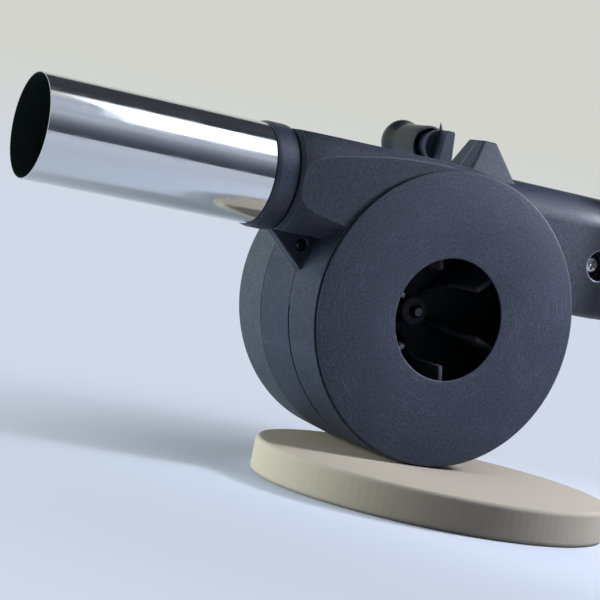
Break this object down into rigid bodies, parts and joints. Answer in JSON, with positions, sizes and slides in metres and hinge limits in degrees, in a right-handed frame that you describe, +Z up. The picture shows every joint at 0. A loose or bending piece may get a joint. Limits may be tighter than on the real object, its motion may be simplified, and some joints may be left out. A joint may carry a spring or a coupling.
{
  "type": "hand crank blower",
  "caption": "Hand-held crank blower: drum-shaped fan casing with round inlet, steel nozzle tube, grip, geared crank with turning knob and enclosed impeller.",
  "frame": {"origin": "centre of the round air inlet at the intake lid's outer face", "axes": "+X from the nozzle towards the grip, +Y along the drum axis from the inlet towards the crank, +Z up"},
  "size_m": [0.2844, 0.1024, 0.1243],
  "materials": {
    "lid_plastic": "fine matte grain, faint scratches",
    "shell_plastic": "moulded black, fine grain",
    "cover_plastic": "moulded black, fine grain",
    "collar_plastic": "satin black",
    "tube_steel": "polished stainless steel",
    "fan_plastic": "moulded black",
    "crank_plastic": "moulded black",
    "knob_plastic": "moulded black",
    "gear_plastic": "natural acetal",
    "screw_steel": "zinc plated",
    "shaft_steel": "ground steel",
    "bush_bronze": "sintered bronze"
  },
  "bodies": {
    "housing": {"intake_lid": "lid_plastic", "front_shell": "shell_plastic", "rear_shell": "shell_plastic", "gear_cover": "cover_plastic", "nozzle_tube": "tube_steel", "nozzle_collar": "collar_plastic", "handle_screws": "screw_steel", "gusset_screw": "screw_steel", "cover_screws": "screw_steel", "fan_bush_front": "bush_bronze", "fan_bush_rear": "bush_bronze", "compound_axle": "shaft_steel", "crank_bush": "bush_bronze"},
    "fan": {"impeller": "fan_plastic", "fan_shaft": "shaft_steel", "fan_pinion": "gear_plastic", "fan_clip": "screw_steel"},
    "idler": {"compound_gear": "gear_plastic"},
    "crank": {"crank_gear": "gear_plastic", "crank_shaft": "shaft_steel", "crank_clip": "screw_steel", "crank_washer": "screw_steel", "crank_arm": "crank_plastic", "crank_screw": "screw_steel"},
    "knob": {"crank_knob": "knob_plastic"}
  },
  "joints": [
    {"name": "crank_spin", "type": "hinge", "parent": "housing", "child": "crank", "pos_m": [0.0246, 0.06, 0.005], "axis": [0, 1, 0], "continuous": true},
    {"name": "idler_spin", "type": "hinge", "parent": "housing", "child": "idler", "pos_m": [0.01473, 0.05, -0.01688], "axis": [0, 1, 0], "continuous": true},
    {"name": "fan_spin", "type": "hinge", "parent": "housing", "child": "fan", "pos_m": [0, 0.04, 0], "axis": [0, 1, 0], "continuous": true},
    {"name": "knob_spin", "type": "hinge", "parent": "crank", "child": "knob", "pos_m": [0.0246, 0.09, 0.0627], "axis": [0, 1, 0], "continuous": true}
  ],
  "couplings": [
    {"joint": "idler_spin", "follows": "crank_spin", "ratio": -4},
    {"joint": "fan_spin", "follows": "crank_spin", "ratio": 14.667}
  ]
}
